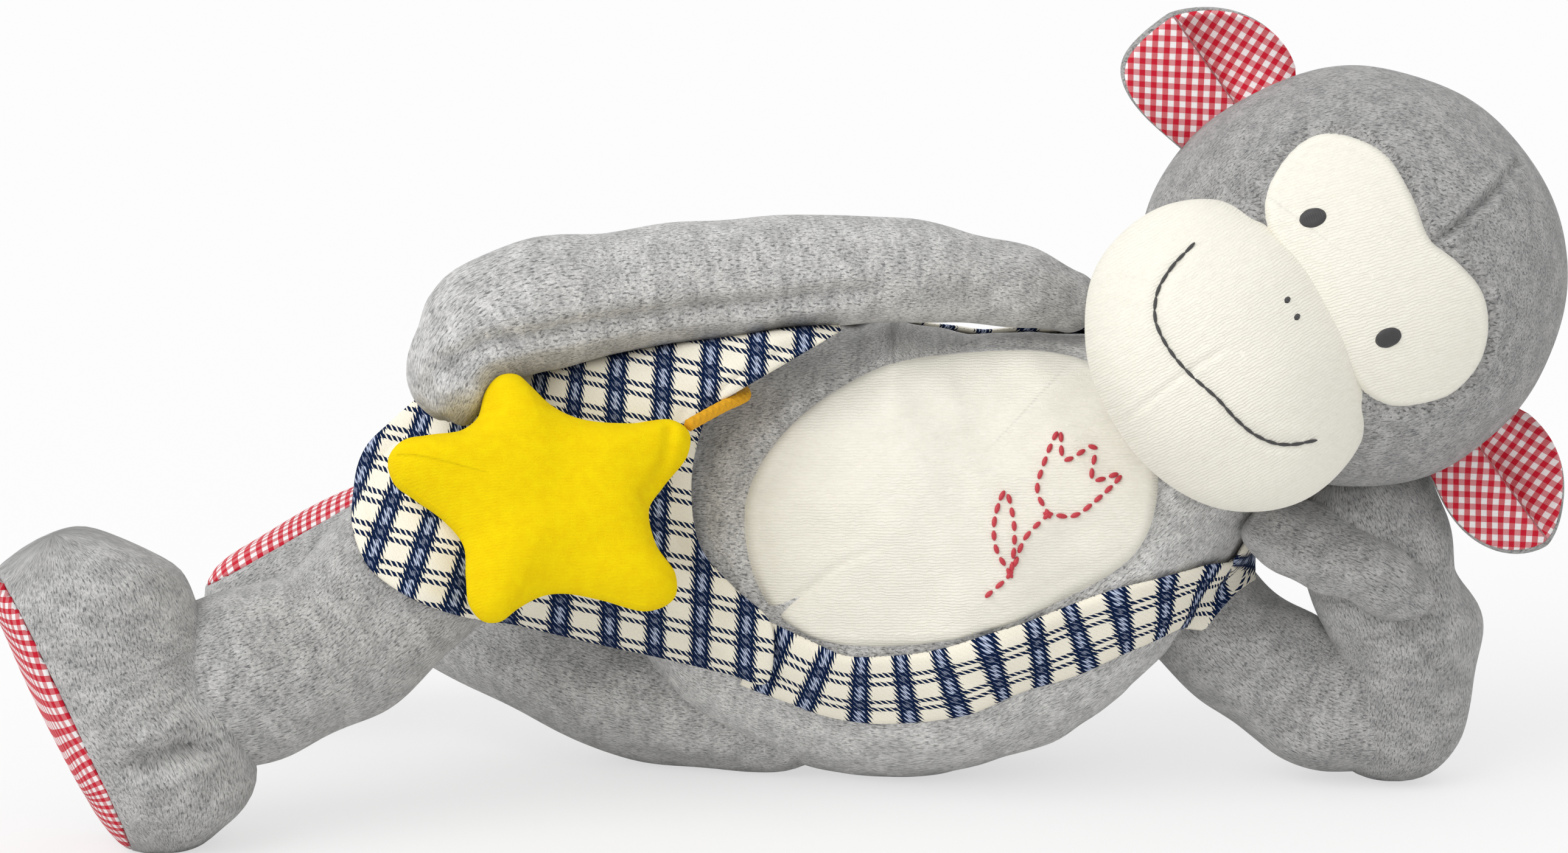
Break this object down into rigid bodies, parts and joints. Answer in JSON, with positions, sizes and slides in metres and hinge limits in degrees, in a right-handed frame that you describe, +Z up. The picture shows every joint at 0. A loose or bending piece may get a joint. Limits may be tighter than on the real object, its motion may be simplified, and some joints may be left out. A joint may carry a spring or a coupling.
{
  "type": "stuffed toy monkey",
  "caption": "Plush toy monkey lying on its side, head propped on one hand, with a bib apron and a star on a pull cord that winds a musical movement.",
  "frame": {"origin": "under the middle of the whole toy's box, on the plane that it lies on", "axes": "+X from the feet towards the head, -Y out of the face and belly, +Z up from the ground"},
  "size_m": [0.3854, 0.142, 0.1939],
  "materials": {
    "grey_velour": "short heathered pile",
    "cream_velour": "short pile",
    "gingham": "small red and white check",
    "plaid": "cream flannel with navy and pale blue bars",
    "red_thread": "satin thread",
    "yellow_velour": "short pile",
    "cord_cotton": "braided",
    "dark_thread": "satin thread",
    "white_plastic": "fine texture",
    "nylon": "smooth",
    "brass": "polished",
    "steel": "bright zinc"
  },
  "bodies": {
    "body": {"torso": "grey_velour", "eyelet": "brass", "pull_cord": "cord_cotton", "belly_panel": "cream_velour", "belly_stitching": "red_thread", "apron": "plaid", "neck_strap": "plaid", "case_base": "white_plastic", "case_lid": "white_plastic", "case_screw_1": "steel", "case_screw_2": "steel", "reel_axle": "steel", "cylinder_axle": "steel", "governor_axle": "steel", "comb": "steel", "cord_inside": "cord_cotton"},
    "head": {"head": "grey_velour", "face_patch": "cream_velour", "muzzle": "cream_velour", "eye_right": "dark_thread", "eye_left": "dark_thread", "nostril_right": "dark_thread", "nostril_left": "dark_thread", "mouth_stitching": "dark_thread", "ear_back_right": "grey_velour", "ear_lining_right": "gingham", "ear_back_left": "grey_velour", "ear_lining_left": "gingham"},
    "arm_right": {"arm_right": "grey_velour"},
    "upper_arm_left": {"upper_arm_left": "grey_velour"},
    "forearm_left": {"forearm_left": "grey_velour", "hand_left": "grey_velour"},
    "leg_right": {"leg_right": "grey_velour", "foot_right": "grey_velour", "sole_right": "gingham"},
    "leg_left": {"leg_left": "grey_velour", "foot_left": "grey_velour", "sole_left": "gingham"},
    "star": {"star_front": "yellow_velour", "star_back": "yellow_velour"},
    "cord_reel": {"cord_reel": "nylon"},
    "pin_cylinder": {"pin_cylinder": "brass"},
    "governor": {"governor": "nylon"}
  },
  "joints": [
    {"name": "neck_turn", "type": "hinge", "parent": "body", "child": "head", "pos_m": [0.13822, -0.00181, 0.1295], "axis": [0.866, 0.104, 0.489], "range_deg": [-12, 0]},
    {"name": "shoulder_right", "type": "hinge", "parent": "body", "child": "arm_right", "pos_m": [0.07122, 0.00719, 0.121], "axis": [0, 1, 0], "range_deg": [0, 60]},
    {"name": "shoulder_left", "type": "hinge", "parent": "body", "child": "upper_arm_left", "pos_m": [0.10222, 0.01219, 0.044], "axis": [0, 0, 1], "range_deg": [0, 10]},
    {"name": "elbow_left", "type": "hinge", "parent": "upper_arm_left", "child": "forearm_left", "pos_m": [0.15022, 0.00719, 0.0175], "axis": [1, 0, 0], "range_deg": [0, 15]},
    {"name": "hip_right", "type": "hinge", "parent": "body", "child": "leg_right", "pos_m": [-0.01378, 0.01219, 0.084], "axis": [0, 0, 1], "range_deg": [-15, 0]},
    {"name": "hip_left", "type": "hinge", "parent": "body", "child": "leg_left", "pos_m": [-0.00478, 0.01719, 0.0205], "axis": [0, 0, 1], "range_deg": [-24, 0]},
    {"name": "star_pull", "type": "slide", "parent": "body", "child": "star", "axis": [0, -1, 0], "range_m": [0, 0.15], "stiffness_N_per_m": 5, "springref_m": -0.05},
    {"name": "reel_turn", "type": "hinge", "parent": "body", "child": "cord_reel", "pos_m": [0.02872, 0.01619, 0.066], "axis": [0, 1, 0], "range_deg": [0, 785]},
    {"name": "cylinder_turn", "type": "hinge", "parent": "body", "child": "pin_cylinder", "pos_m": [0.04502, 0.01619, 0.066], "axis": [0, 1, 0], "continuous": true},
    {"name": "governor_turn", "type": "hinge", "parent": "body", "child": "governor", "pos_m": [0.04881, 0.01619, 0.07515], "axis": [0, 1, 0], "continuous": true}
  ],
  "couplings": [
    {"joint": "reel_turn", "follows": "star_pull", "rad_per_m": 90.909},
    {"joint": "cylinder_turn", "follows": "star_pull", "rad_per_m": -136.36},
    {"joint": "governor_turn", "follows": "star_pull", "rad_per_m": 272.73}
  ]
}
